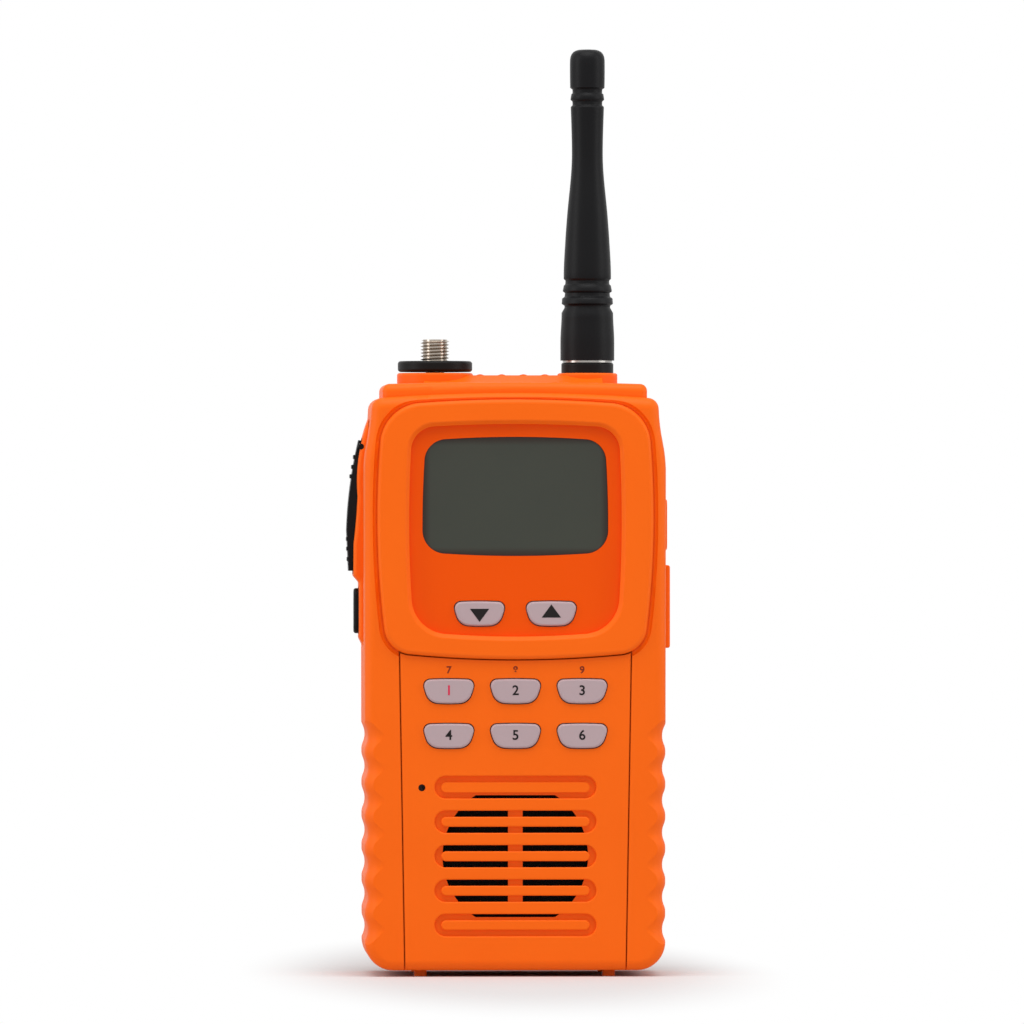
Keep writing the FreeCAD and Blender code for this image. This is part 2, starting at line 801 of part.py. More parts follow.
def contact_ring(slack):
    """The seal round the battery contacts, in a groove of the bay's wall."""
    outside = rounded_block(-12 - slack, 12 + slack, bay_y - 0.5, bay_y + 0.1, 84.2 - slack, 91.8 + slack, 3.0, "y")
    inside = rounded_block(-11 + slack, 11 - slack, bay_y - 1, bay_y + 1, 85.2 + slack, 90.8 - slack, 2.2, "y")
    return outside.cut(inside)


def button_form(x0, x1, z, height, depth, grow):
    """A side button's rounded outline, as a solid across the side wall."""
    half_h = height / 2.0 + grow
    half_d = depth / 2.0 + grow
    return rounded_block(x0, x1, lever_mid_y - half_d, lever_mid_y + half_d, z - half_h, z + half_h, 1.6, "x")


def cover_recess():
    """The seat for the socket cover, its hinge and the two socket holes."""
    half = cover_height / 2.0 + fit_gap
    seat = rounded_block(cover_recess_x, 40, cover_front_y - fit_gap, hinge_y, cover_z - half, cover_z + half, 0.5, "x")
    barrel = rod(hinge_r + hinge_gap, V(hinge_x, hinge_y, cover_z - half), V(hinge_x, hinge_y, cover_z + half))
    holes = [
        rod(large_barrel_r + 0.1, V(28, socket_y, large_socket_z), V(34, socket_y, large_socket_z)),
        rod(small_barrel_r + 0.1, V(28, socket_y, small_socket_z), V(34, socket_y, small_socket_z)),
    ]
    return [seat, barrel] + holes


def hinge_knuckles():
    """The case's two knuckles of the cover hinge."""
    knuckles = []
    half = cover_height / 2.0
    for z0, z1 in ((cover_z - half, cover_z - half + 2.3), (cover_z + half - 2.3, cover_z + half)):
        barrel = rod(hinge_r, V(hinge_x, hinge_y, z0), V(hinge_x, hinge_y, z1))
        root = block(30.2, hinge_x, hinge_y - hinge_r, hinge_y + hinge_r, z0, z1)
        pin_hole = rod(hinge_pin_r, V(hinge_x, hinge_y, z0 - 1), V(hinge_x, hinge_y, z1 + 1))
        knuckles.append(barrel.fuse(root).cut(pin_hole))
    return knuckles


def make_case_screws():
    """The four screws that hold the two case halves together."""
    screws = []
    for x in (-case_screw_x, case_screw_x):
        for z in case_screw_z:
            head = rod(screw_head_r, V(x, bay_y - 1.45, z), V(x, bay_y - 0.15, z))
            socket = rod(0.9, V(x, bay_y - 0.9, z), V(x, bay_y + 1, z))
            shank = rod(case_screw_r - 0.02, V(x, -14.6, z), V(x, bay_y - 1.4, z))
            screws.append(head.cut(socket).fuse(shank))
    return Part.makeCompound(screws)


def make_inserts():
    """Threaded inserts for the thumb screws."""
    insert = tube(insert_r, thumb_shank_r + 0.05, V(thumb_x, -1.4, thumb_z), V(thumb_x, bay_y - 0.1, thumb_z))
    return both_sides(insert)


def make_contacts():
    """Spring contacts through the bay's wall."""
    pins = []
    for x in contact_x:
        body = rod(0.78, V(x, -1.0, contact_z), V(x, bay_y + pack_gap - 0.05, contact_z))
        base = rod(1.4, V(x, -1.4, contact_z), V(x, bay_y - bay_wall - 0.1, contact_z))
        pins.append(body.fuse(base))
    return Part.makeCompound(pins)


# Volume dial

def make_volume_control():
    """The rotary control under the head, with its bush up through the case."""
    body = rounded_block(dial_x - 5.6, dial_x + 5.6, top_parts_y - 6.0, top_parts_y + 6.0,
                         108.0, control_top_z, 1.0, "z")
    bush = rod(3.5, V(dial_x, top_parts_y, control_top_z - 0.5), V(dial_x, top_parts_y, 123.9))
    bore = rod(spindle_r + running_gap, V(dial_x, top_parts_y, spindle_foot_z - 0.2), V(dial_x, top_parts_y, 125))
    return body.fuse(bush).cut(bore)


def ring_seal(x, z, bore_r, thick_r):
    """A rubber ring about a vertical axis."""
    return Part.makeTorus(bore_r + thick_r, thick_r, V(x, top_parts_y, z))


def make_volume_dial():
    """The low round dial, with an index groove on its top."""
    low = boss_top_z + dial_gap
    dial = rod(dial_r, V(dial_x, top_parts_y, low), V(dial_x, top_parts_y, low + dial_thick))
    dial = dial.makeFillet(dial_edge_r, edges_at(dial, "z", low + dial_thick) + edges_at(dial, "z", low))
    bore = rod(stud_root_r, V(dial_x, top_parts_y, low - 1), V(dial_x, top_parts_y, low + 5))
    index = block(dial_x - 0.35, dial_x + 0.35, top_parts_y + 4.2, top_parts_y + 6.8,
                  low + dial_thick - 0.4, low + dial_thick + 1)
    return dial.cut([bore, index])


def make_dial_spindle():
    """The dial's metal spindle: a threaded stud above, a plain shaft below."""
    low = boss_top_z + dial_gap
    foot = low + dial_thick
    profile = [(0, spindle_foot_z), (spindle_r, spindle_foot_z), (spindle_r, low), (stud_root_r, low)]
    profile.append((stud_root_r, foot))
    turns = int(stud_height / stud_pitch)
    for i in range(turns):
        z = foot + i * stud_pitch
        profile += [(stud_root_r, z + 0.1), (stud_crest_r, z + 0.4), (stud_crest_r, z + 0.55),
                    (stud_root_r, z + 0.85)]
    top = foot + stud_height
    profile += [(stud_root_r, top - 0.02), (stud_root_r - 0.3, top), (0, top)]
    stud = turned(profile, dial_x, top_parts_y)
    slot = block(dial_x - 3, dial_x + 3, top_parts_y - 0.35, top_parts_y + 0.35, top - 0.7, top + 1)
    return stud.cut(slot.common(rod(1.6, V(dial_x, top_parts_y, top - 1), V(dial_x, top_parts_y, top + 1))))


# Aerial

def make_aerial_collar():
    """The black ring on the right boss."""
    top = boss_top_z + collar_height
    ring = tube(collar_r, jack_r + 0.02, V(aerial_x, top_parts_y, boss_top_z), V(aerial_x, top_parts_y, top))
    outer = lambda edge: edge.BoundBox.XLength > 2 * collar_r - 0.1
    return rounded(ring, 0.4, "z", top, outer)


def make_aerial_jack():
    """The socket that the aerial screws into."""
    body = rod(jack_r, V(aerial_x, top_parts_y, 117.0), V(aerial_x, top_parts_y, 129.7))
    bore = rod(jack_bore_r, V(aerial_x, top_parts_y, 120.5), V(aerial_x, top_parts_y, 131))
    contact = rod(1.0, V(aerial_x, top_parts_y, 120.4), V(aerial_x, top_parts_y, 122.2))
    return body.cut(bore).fuse(contact)


def make_aerial_seal():
    """The flat ring between the aerial's flange and the socket."""
    return tube(4.2, stud_r + running_gap, V(aerial_x, top_parts_y, 129.75), V(aerial_x, top_parts_y, 130.1))


def make_aerial_fitting():
    """The aerial's metal foot: a thin flange and the stud that screws in."""
    flange = rod(flange_r, V(aerial_x, top_parts_y, 130.15), V(aerial_x, top_parts_y, whip_foot_z))
    stud = rod(stud_r, V(aerial_x, top_parts_y, 122.6), V(aerial_x, top_parts_y, 130.3))
    post = rod(whip_post_r, V(aerial_x, top_parts_y, whip_foot_z - 0.2), V(aerial_x, top_parts_y, whip_foot_z + 7.0))
    return flange.fuse([stud, post])


WHIP = [
    (5.7, 0.0), (5.7, 5.6), (5.5, 10.6), (4.8, 10.9), (4.8, 11.7), (5.3, 12.0), (5.25, 13.3), (4.8, 13.6),
    (4.8, 14.4), (5.2, 14.7), (5.15, 15.9), (4.75, 16.2), (4.75, 17.1), (5.05, 17.4), (4.7, 27.5), (4.35, 31.5),
    (3.75, 36.0), (3.4, 40.0), (3.3, 44.5), (3.35, 49.0), (3.5, 54.2), (3.1, 54.5), (3.1, 55.2), (3.6, 55.5),
    (3.6, 56.7), (3.15, 57.0), (3.15, 57.8), (3.6, 58.1), (3.72, 59.5), (3.72, 63.4),
]


def make_aerial_whip():
    """The rubber sleeve: grooved at the foot and near the tip, waisted between, with a domed end."""
    height = whip_top_z - whip_foot_z
    points = [V(aerial_x + r, top_parts_y, whip_foot_z + z) for r, z in WHIP]
    edges = [Part.LineSegment(V(aerial_x, top_parts_y, whip_foot_z), points[0]).toShape()]
    for start, end in zip(points, points[1:]):
        edges.append(Part.LineSegment(start, end).toShape())
    crown_r = 1.4
    top = V(aerial_x + crown_r, top_parts_y, whip_foot_z + height)
    bend = V(aerial_x + 3.1, top_parts_y, whip_foot_z + height - 0.95)
    edges.append(Part.Arc(points[-1], bend, top).toShape())
    axis_top = V(aerial_x, top_parts_y, whip_foot_z + height)
    edges.append(Part.LineSegment(top, axis_top).toShape())
    edges.append(Part.LineSegment(axis_top, V(aerial_x, top_parts_y, whip_foot_z)).toShape())
    sleeve = Part.Face(Part.Wire(edges)).revolve(V(aerial_x, top_parts_y, 0), V(0, 0, 1), 360)
    post_room = rod(whip_post_r + 0.02, V(aerial_x, top_parts_y, whip_foot_z - 1),
                    V(aerial_x, top_parts_y, whip_foot_z + 7.0))
    return sleeve.cut([post_room, aerial_core()])


def aerial_core():
    """The room for the radiating element: a thin rod with a wound foot."""
    foot = whip_foot_z + 7.0
    wound = rod(2.0, V(aerial_x, top_parts_y, foot), V(aerial_x, top_parts_y, foot + 24.0))
    return wound.fuse(rod(0.8, V(aerial_x, top_parts_y, foot), V(aerial_x, top_parts_y, whip_top_z - 5.0)))


# Left side

def make_talk_lever():
    """The talk lever: a long curved bar that turns about a pin at its top, with grip ribs on it."""
    y0 = lever_mid_y - lever_half_y
    y1 = lever_mid_y + lever_half_y
    outer = [V(-32.8, y0, lever_top_z), V(-34.55, y0, 104.2), V(-35.35, y0, 94.5), V(-34.95, y0, lever_foot_z)]
    inner = [V(-33.0, y0, lever_foot_z), V(-32.8, y0, 98.0), V(-31.8, y0, 110.8), V(-31.8, y0, lever_top_z - 0.3)]
    edges = [
        Part.Arc(outer[0], outer[1], outer[2]).toShape(),
        Part.LineSegment(outer[2], outer[3]).toShape(),
        Part.LineSegment(outer[3], inner[0]).toShape(),
        Part.LineSegment(inner[0], inner[1]).toShape(),
        Part.LineSegment(inner[1], inner[2]).toShape(),
        Part.LineSegment(inner[2], inner[3]).toShape(),
        Part.LineSegment(inner[3], outer[0]).toShape(),
    ]
    bar = Part.Face(Part.Wire(edges)).extrude(V(0, y1 - y0, 0))
    ribs = []
    for x, z in ((-33.75, 110.0), (-34.15, 107.9), (-34.5, 105.9), (-35.25, 92.6), (-35.2, 90.5), (-35.1, 88.3)):
        rib = rounded_block(x - 0.17, x + 0.7, y0 + 0.9, y1 - 0.9, z - 0.45, z + 0.45, 0.2, "y")
        ribs.append(rib)
    nub = rod(nub_r, V(-34.0, lever_mid_y, nub_z), V(-30.4, lever_mid_y, nub_z))
    bore = rod(lever_pin_r + running_gap, V(lever_pin_x, -20, lever_pin_z), V(lever_pin_x, 20, lever_pin_z))
    return bar.fuse(ribs + [nub]).cut(bore)


def make_lever_pin():
    """The pin that the talk lever turns on."""
    reach = lever_half_y + 1.3
    return rod(lever_pin_r, V(lever_pin_x, lever_mid_y - reach, lever_pin_z),
               V(lever_pin_x, lever_mid_y + reach, lever_pin_z))


def make_side_button(face_x, z, height, depth):
    """A side button: a crowned cap outside the wall and a flange inside it."""
    side = math.copysign(1.0, face_x)
    root_x = side * button_flange_x
    step_x = side * (button_flange_x + 0.55)
    cap = button_form(min(face_x, root_x), max(face_x, root_x), z, height, depth, 0)
    cap = rounded(cap, 0.5, "x", face_x)
    flange = button_form(min(root_x, step_x), max(root_x, step_x), z, height, depth, 0.8)
    return cap.fuse(flange)


def make_side_switches():
    """The switches under the talk lever and under the two side buttons."""
    y = lever_mid_y
    talk = rounded_block(-29.2, -25.0, y - 3, y + 3, nub_z - 3, nub_z + 3, 0.5, "x")
    left = rounded_block(-switch_face_x, -25.0, y - 2.5, y + 2.5, side_button_z - 3, side_button_z + 3, 0.5, "x")
    right = rounded_block(25.0, switch_face_x, y - 2.5, y + 2.5, function_z - 2.2, function_z + 3.8, 0.5, "x")
    return Part.makeCompound([talk, left, right])


# Right side

def make_socket_cover():
    """The hinged cover over the two sockets, with a finger lip at its front edge."""
    half = cover_height / 2.0
    plate = rounded_block(cover_recess_x + 0.25, cover_x, cover_front_y, hinge_y, cover_z - half, cover_z + half, 0.4, "x")
    knuckle_half = half - 2.3 - hinge_gap
    barrel = rod(hinge_r, V(hinge_x, hinge_y, cover_z - knuckle_half), V(hinge_x, hinge_y, cover_z + knuckle_half))
    for z0, z1 in ((cover_z - half - 1, cover_z - knuckle_half), (cover_z + knuckle_half, cover_z + half + 1)):
        plate = plate.cut(block(30, 36, hinge_y - hinge_r - hinge_gap, 10, z0, z1))
    front_edge = lambda edge: edge.BoundBox.YMax < hinge_y - 2
    plate = rounded(plate, 0.5, "x", cover_x, front_edge)
    cover = plate.fuse(barrel)
    return cover.cut(rod(hinge_pin_r + running_gap, V(hinge_x, hinge_y, 0), V(hinge_x, hinge_y, 120)))


def make_cover_pin():
    """The pin of the cover hinge."""
    half = cover_height / 2.0
    return rod(hinge_pin_r, V(hinge_x, hinge_y, cover_z - half + 0.1), V(hinge_x, hinge_y, cover_z + half - 0.1))


def make_sockets():
    """The two accessory sockets, a large and a small one."""
    large = tube(large_barrel_r, large_socket_r, V(socket_back_x, socket_y, large_socket_z),
                 V(socket_face_x, socket_y, large_socket_z))
    small = tube(small_barrel_r, small_socket_r, V(socket_back_x, socket_y, small_socket_z),
                 V(socket_face_x, socket_y, small_socket_z))
    return Part.makeCompound([large, small])


# Battery pack

def make_battery_case(form):
    """The battery pack's tub, with posts for the thumb screws."""
    tub = form.common(block(-40, 40, pack_front_y, 30, -5, bay_top_z))
    corners = [
        (-half_low + pack_wall, case_floor_z + pack_wall), (half_low - pack_wall, case_floor_z + pack_wall),
        (half_low - pack_wall, bay_top_z - pack_wall), (-half_low + pack_wall, bay_top_z - pack_wall),
    ]
    room = prism(corners, pack_front_y - 1, back_y - pack_wall, None, [4.4, 4.4, 1, 1])
    tub = tub.cut(rounded(room, pack_corner_r, "y", back_y - pack_wall))
    posts = [rod(thumb_r + 1.2, V(x, lid_back_y, thumb_z), V(x, back_y - 1, thumb_z)) for x in (-thumb_x, thumb_x)]
    tub = tub.fuse(posts)
    tools = []
    for x in (-thumb_x, thumb_x):
        tools.append(rod(thumb_shank_r + 0.1, V(x, 0, thumb_z), V(x, 20, thumb_z)))
        tools.append(rod(thumb_r + 0.2, V(x, back_y - 2.3, thumb_z), V(x, 20, thumb_z)))
    for x, z in clip_screw_places():
        tools.append(rod(0.9, V(x, back_y - 3, z), V(x, 20, z)))
    tub = tub.cut(tools)
    for x in (-foot_x, foot_x):
        tub = tub.fuse(foot(x, rear_foot_y))
    return tub


def make_battery_lid():
    """The plate that closes the battery pack towards the radio."""
    inset = pack_wall + 0.05
    corners = [
        (-half_low + inset, case_floor_z + inset), (half_low - inset, case_floor_z + inset),
        (half_low - inset, bay_top_z - inset), (-half_low + inset, bay_top_z - inset),
    ]
    lid = prism(corners, pack_front_y, lid_back_y, None, [4.3, 4.3, 0.9, 0.9])
    tools = [rod(2.0, V(x, 0, contact_z), V(x, 20, contact_z)) for x in contact_x]
    tools += [rod(thumb_shank_r + 0.1, V(x, 0, thumb_z), V(x, 20, thumb_z)) for x in (-thumb_x, thumb_x)]
    return lid.cut(tools)


def make_battery_cells():
    """Two flat cells, side by side."""
    width, depth, height = cell_size
    y0 = lid_back_y + 0.1
    cell = rounded_block(0.4, 0.4 + width, y0, y0 + depth, 17.0, 17.0 + height, 2.6, "z")
    return both_sides(cell)


def make_battery_terminals():
    """The battery's contact pads, flush in its lid."""
    pads = [rod(1.98, V(x, pack_front_y, contact_z), V(x, lid_back_y + 0.6, contact_z)) for x in contact_x]
    return Part.makeCompound(pads)


def make_battery_board():
    """The protection circuit above the cells."""
    return rounded_block(-24, 24, lid_back_y + 0.7, lid_back_y + 1.7, 83.0, 92.4, 0.8, "y")


def make_thumb_screw(x):
    """A thumb screw: a grooved head with a coin slot, and a plain stand-in for its thread."""
    head = rod(thumb_r, V(x, back_y - 2.2, thumb_z), V(x, back_y + 0.5, thumb_z))
    head = rounded(head, 0.35, "y", back_y + 0.5)
    notches = []
    for i in range(16):
        angle = i * math.pi / 8
        cx = x + (thumb_r + 0.25) * math.cos(angle)
        cz = thumb_z + (thumb_r + 0.25) * math.sin(angle)
        notches.append(rod(0.55, V(cx, back_y - 3, cz), V(cx, back_y + 1, cz)))
    slot = block(x - 3.2, x + 3.2, back_y - 0.6, back_y + 1, thumb_z - 0.6, thumb_z + 0.6)
    shank = rod(thumb_shank_r, V(x, -1.2, thumb_z), V(x, back_y - 2.0, thumb_z))
    return head.cut(notches + [slot]).fuse(shank)


# Belt clip

def clip_screw_places():
    """The middles of the clip plate's screws."""
    return [(x, z) for x in (-6.4, 6.4) for z in (75.6, 90.4)]


def make_clip_plate():
    """The plate on the battery pack, with two ears for the clip's pin."""
    plate = rounded_block(-9.4, 9.4, back_y, back_y + 1.4, 72.6, 93.2, 1.6, "y")
    ears = []
    for x0, x1 in ((-5.4, -3.6), (3.6, 5.4)):
        ear = rod(1.7, V(x0, clip_pin_y, clip_pin_z), V(x1, clip_pin_y, clip_pin_z))
        ear = ear.fuse(block(x0, x1, back_y + 1.0, clip_pin_y, clip_pin_z - 1.7, clip_pin_z + 1.7))
        ears.append(ear)
    plate = plate.fuse(ears)
    tools = [rod(0.8, V(-10, clip_pin_y, clip_pin_z), V(10, clip_pin_y, clip_pin_z))]
    for x, z in clip_screw_places():
        tools.append(rod(1.1, V(x, back_y - 1, z), V(x, back_y + 3, z)))
    return plate.cut(tools)


def make_clip_screws():
    """The four screws that hold the clip plate."""
    screws = []
    for x, z in clip_screw_places():
        head = rod(1.7, V(x, back_y + 1.4, z), V(x, back_y + 2.2, z))
        head = rounded(head, 0.4, "y", back_y + 2.2)
        slot = block(x - 1.2, x + 1.2, back_y + 1.9, back_y + 3, z - 0.2, z + 0.2)
        shank = rod(0.88, V(x, back_y - 1.5, z), V(x, back_y + 1.5, z))
        screws.append(head.cut(slot).fuse(shank))
    return Part.makeCompound(screws)


def make_belt_clip():
    """The sprung clip: a thumb tab above its pin, a long blade below, bent in and out at its end."""
    y_in = clip_inner_y
    y_out = clip_inner_y + clip_thick
    profile = [
        V(-clip_half, y_in - 0.8, clip_head_z), V(-clip_half, y_out - 0.6, clip_head_z),
        V(-clip_half, y_out, clip_pin_z), V(-clip_half, y_out, 48.0), V(-clip_half, 16.2, clip_foot_z + 5.4),
        V(-clip_half, 18.6, clip_foot_z), V(-clip_half, 17.2, clip_foot_z), V(-clip_half, 14.4, clip_foot_z + 5.2),
        V(-clip_half, y_in, 46.0), V(-clip_half, y_in, clip_pin_z),
    ]
    blade = Part.Face(Part.makePolygon(profile + [profile[0]])).extrude(V(2 * clip_half, 0, 0))
    outline = [
        (-clip_foot_half, clip_foot_z), (clip_foot_half, clip_foot_z),
        (clip_half, clip_head_z), (-clip_half, clip_head_z),
    ]
    blade = blade.common(prism(outline, 0, 40, None, [5.0, 5.0, 3.0, 3.0]))
    lugs = []
    for x0, x1 in ((-3.4, -1.8), (1.8, 3.4)):
        lug = rod(1.7, V(x0, clip_pin_y, clip_pin_z), V(x1, clip_pin_y, clip_pin_z))
        lugs.append(lug.fuse(block(x0, x1, clip_pin_y, y_in + 0.3, clip_pin_z - 1.7, clip_pin_z + 1.7)))
    ribs = []
    for i in range(4):
        z = clip_head_z - 1.6 - i * 1.7
        ribs.append(rod(0.45, V(-6.5, y_out - 0.35, z), V(6.5, y_out - 0.35, z)))
    clip = blade.fuse(lugs + ribs)
    return clip.cut(rod(0.85, V(-10, clip_pin_y, clip_pin_z), V(10, clip_pin_y, clip_pin_z)))


def make_clip_pin():
    """The pin of the belt clip."""
    return rod(0.8, V(-5.6, clip_pin_y, clip_pin_z), V(5.6, clip_pin_y, clip_pin_z))


def make_clip_spring():
    """The clip's torsion spring: a coil round the pin, with one leg on the clip and one on the plate."""
    pitch = spring_wire_r * 2.3
    length = spring_turns * pitch
    helix = Part.makeHelix(pitch, length, spring_r)
    section = Part.Circle(V(spring_r, 0, 0), V(0, 1, 0), spring_wire_r)
    coil = Part.Wire(helix).makePipeShell([Part.Wire(section.toShape())], True, True)
    leg_r = spring_wire_r * 1.08
    legs = [
        rod(leg_r, V(spring_r, 0.1, 0), V(spring_r, -spring_leg, 0)),
        rod(leg_r, V(spring_r, -0.1, length), V(spring_r, spring_leg, length)),
    ]
    spring = coil.fuse(legs)
    spring.rotate(V(0, 0, 0), V(0, 1, 0), 90)
    spring.translate(V(-length / 2.0, clip_pin_y, clip_pin_z))
    return spring


# The whole radio

def make_all():
    """Every node's shape, by name."""
    form = outer_form()
    basket, cone, magnet, cloth = make_speaker()
    nodes = {
        "front_case": make_front_case(form),
        "display_surround": make_display_surround(),
        "display_panel": make_display_panel(),
        "display_window": make_display_window(),
        "lcd_module": make_lcd_module(),
        "lower_panel": make_lower_panel(form),
        "keypad_mat": make_keypad_mat(),
        "keypad_board": make_keypad_board(),
        "key_domes": make_key_domes(),
        "main_board": make_main_board(),
        "rf_shield": make_rf_shield(),
        "speaker_basket": basket,
        "speaker_cone": cone,
        "speaker_magnet": magnet,
        "speaker_cloth": cloth,
        "microphone": make_microphone(),
        "rear_case": make_rear_case(form),
        "case_seal": seal_ring(0, 0),
        "case_screws": make_case_screws(),
        "threaded_inserts": make_inserts(),
        "battery_contacts": make_contacts(),
        "contact_seal": contact_ring(0),
        "volume_control": make_volume_control(),
        "spindle_seal": ring_seal(dial_x, 127.0, spindle_r + 0.02, 0.75),
        "volume_dial": make_volume_dial(),
        "dial_spindle": make_dial_spindle(),
        "aerial_collar": make_aerial_collar(),
        "aerial_jack": make_aerial_jack(),
        "aerial_seal": make_aerial_seal(),
        "aerial_fitting": make_aerial_fitting(),
        "aerial_element": aerial_core(),
        "aerial_whip": make_aerial_whip(),
        "talk_lever": make_talk_lever(),
        "lever_pin": make_lever_pin(),
        "side_button": make_side_button(side_button_x, side_button_z, side_button_height, side_button_depth),
        "function_button": make_side_button(function_x, function_z, function_height, function_depth),
        "side_switches": make_side_switches(),
        "socket_cover": make_socket_cover(),
        "cover_pin": make_cover_pin(),
        "accessory_sockets": make_sockets(),
        "battery_case": make_battery_case(form),
        "battery_lid": make_battery_lid(),
        "battery_cells": make_battery_cells(),
        "battery_terminals": make_battery_terminals(),
        "battery_board": make_battery_board(),
        "thumb_screw_left": make_thumb_screw(-thumb_x),
        "thumb_screw_right": make_thumb_screw(thumb_x),
        "clip_plate": make_clip_plate(),
        "clip_screws": make_clip_screws(),
        "belt_clip": make_belt_clip(),
        "clip_pin": make_clip_pin(),
        "clip_spring": make_clip_spring(),
    }
    for name, x, z, face_y in key_places():
        proud = key_proud if face_y == front_y else arrow_proud
        nodes[name] = make_key(x, z, face_y, proud)
    return nodes


def main():
    os.makedirs("parts", exist_ok=True)
    for name, shape in make_all().items():
        if not shape.isValid():
            print("not valid:", name)
        print("%-20s %2d solids %10.1f mm3" % (name, len(shape.Solids), shape.Volume))
        shape.exportStep("parts/%s.step" % name)


main()
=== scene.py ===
"""Looks of a handheld marine radio: finishes for the solids, the pieces made here, light and camera."""
import json
import math

import bpy
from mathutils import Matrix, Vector


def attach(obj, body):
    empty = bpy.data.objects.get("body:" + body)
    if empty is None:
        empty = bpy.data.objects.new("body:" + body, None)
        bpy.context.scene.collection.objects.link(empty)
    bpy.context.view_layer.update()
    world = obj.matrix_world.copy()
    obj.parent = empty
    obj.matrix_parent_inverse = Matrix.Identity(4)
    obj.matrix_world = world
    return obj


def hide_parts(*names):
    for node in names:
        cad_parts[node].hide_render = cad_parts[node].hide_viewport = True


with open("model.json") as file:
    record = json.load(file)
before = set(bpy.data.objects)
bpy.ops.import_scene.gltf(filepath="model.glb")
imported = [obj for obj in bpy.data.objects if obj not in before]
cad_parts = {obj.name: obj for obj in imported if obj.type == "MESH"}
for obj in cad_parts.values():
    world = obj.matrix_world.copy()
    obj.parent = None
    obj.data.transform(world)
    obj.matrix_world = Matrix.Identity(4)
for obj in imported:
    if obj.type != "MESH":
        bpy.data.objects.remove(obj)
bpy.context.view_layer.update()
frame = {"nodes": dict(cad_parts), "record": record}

MM = 0.001

# Camera, at the photograph's angle
camera_distance = 2.5
camera_turn = math.radians(-2.1)
camera_height = 0.0983
view_width = 0.2183
sensor_width = 36.0

# Studio
floor_size = 6.0
floor_tone = 0.66
floor_warmth = 1.03
floor_narrowing = 4.0
floor_near = 0.1
floor_far = 0.24
world_light = 0.6
lamp_aim = (0, 0, 0.08)

# Keys, as the solids have them
key_column = 14.1 * MM
key_rows = (60.5 * MM, 51.05 * MM)
arrow_column = 7.6 * MM
arrow_height = 76.9 * MM

# Prints on the keys and on the lower panel
panel_face = -20.3 * MM
key_face = -20.9 * MM
arrow_face = -20.1 * MM
print_depth = 0.03 * MM
numeral_size = 2.9 * MM
small_numeral_size = 2.1 * MM
small_numeral_rise = 4.35 * MM
numeral_weight = 0.05 * MM
triangle_width = 4.1 * MM
triangle_height = 2.8 * MM

# Display window, seen from the front, and the width of the painted shade along its border
window_middle = 101.6 * MM
window_half_width = 19.4 * MM
window_half_height = 12.2 * MM
window_shade = 1.6 * MM

# Threaded stud on the dial
dial_x = -16.4 * MM
top_parts_y = 0.6 * MM
stud_foot = 130.45 * MM
stud_top = 135.05 * MM
stud_root_r = 2.55 * MM
stud_crest_r = 3.12 * MM
stud_pitch = 0.7 * MM
thread_runout = 0.15 * MM
thread_overlap = 0.4 * MM
shaft_foot = 110.0 * MM
shaft_r = 2.0 * MM
thread_fill = 0.62
thread_steps = 40
core_corners = 64
shaft_corners = 48

# Aerial sleeve
aerial_x = 16.1 * MM
whip_foot = 130.6 * MM
whip_top = 196.9 * MM
whip_corners = 64

# Aerial sleeve's profile, in millimetres, with heights over its foot. A step has its start, its end and the
# change of radius, and a groove has its middle and its depth.
sleeve_foot_r = 5.75
sleeve_steps = ((4, 10, -0.25), (11, 18, -0.45), (18, 30, -0.5), (26, 44, -1.25), (44, 62, 0.42))
sleeve_grooves = ((11.3, 0.62), (14.0, 0.5), (16.65, 0.4), (54.85, 0.4), (57.4, 0.48))
groove_half_width = 0.75
groove_steepness = 2.2
first_ring = 0.25
plain_ring_gap = 1.1
groove_ring_gap = 0.17
groove_lookahead = 0.35
dome_r = 3.72
dome_height = 3.3

# Dome of the sleeve's tip: how far below the top in millimetres, and the share of its radius
dome_rings = (
    (3.2, 1.0), (2.2, 0.995), (1.5, 0.965), (0.95, 0.9), (0.5, 0.8), (0.2, 0.66), (0.04, 0.5), (0.0, 0.36))


# Shader sums and nodes

class Level:
    """A shader value that can be used in sums, as if it were a number."""

    def __init__(self, finish, socket):
        self.finish = finish
        self.socket = socket

    def sum_with(self, operation, first, second):
        return self.finish.node("ShaderNodeMath", {"operation": operation}, {0: first, 1: second})

    def __add__(self, other):
        return self.sum_with("ADD", self, other)

    def __radd__(self, other):
        return self.sum_with("ADD", other, self)

    def __sub__(self, other):
        return self.sum_with("SUBTRACT", self, other)

    def __rsub__(self, other):
        return self.sum_with("SUBTRACT", other, self)

    def __mul__(self, other):
        return self.sum_with("MULTIPLY", self, other)

    def __rmul__(self, other):
        return self.sum_with("MULTIPLY", other, self)

    def __abs__(self):
        return self.sum_with("ABSOLUTE", self, 0.0)


